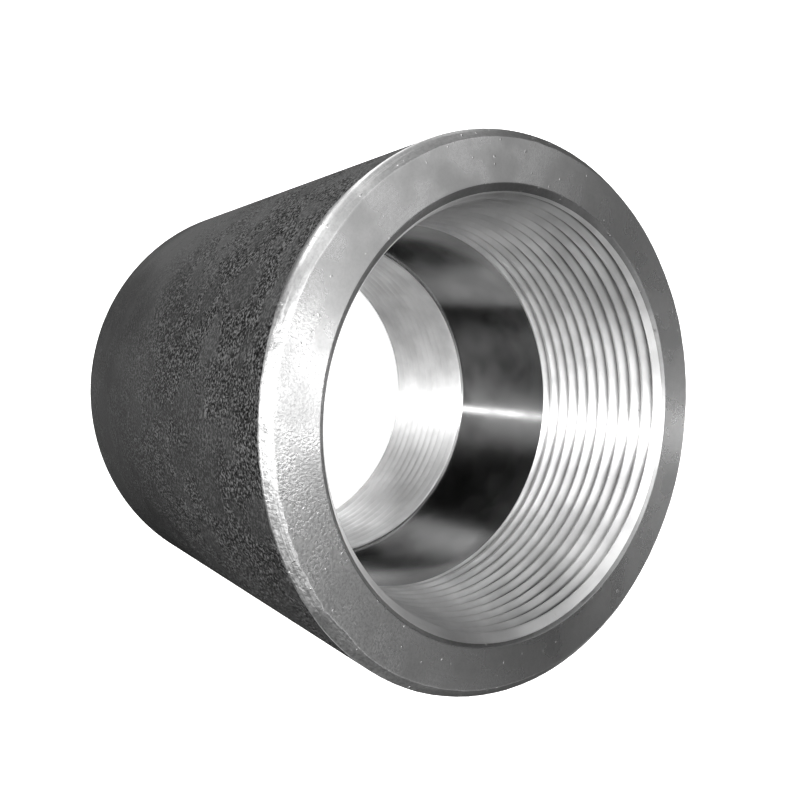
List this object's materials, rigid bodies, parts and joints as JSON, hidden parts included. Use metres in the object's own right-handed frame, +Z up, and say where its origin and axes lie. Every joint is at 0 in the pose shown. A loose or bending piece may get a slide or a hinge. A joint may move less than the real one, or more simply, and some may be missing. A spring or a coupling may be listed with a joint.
{
  "type": "threaded pipe coupling",
  "caption": "Straight full coupling of forged steel with a taper pipe thread in each end, bevelled machined faces and a smooth relief between the threads.",
  "frame": {"origin": "middle of the lower end face, which the coupling stands on", "axes": "+Z up along the bore, from the lower end face to the upper one; X and Y are alike"},
  "size_m": [0.108, 0.108, 0.108],
  "materials": {
    "forged_steel": "dark forged skin outside, turned end faces, cut threads and a smooth bored middle"
  },
  "bodies": {
    "root": {"coupling_body": "forged_steel"}
  },
  "joints": []
}
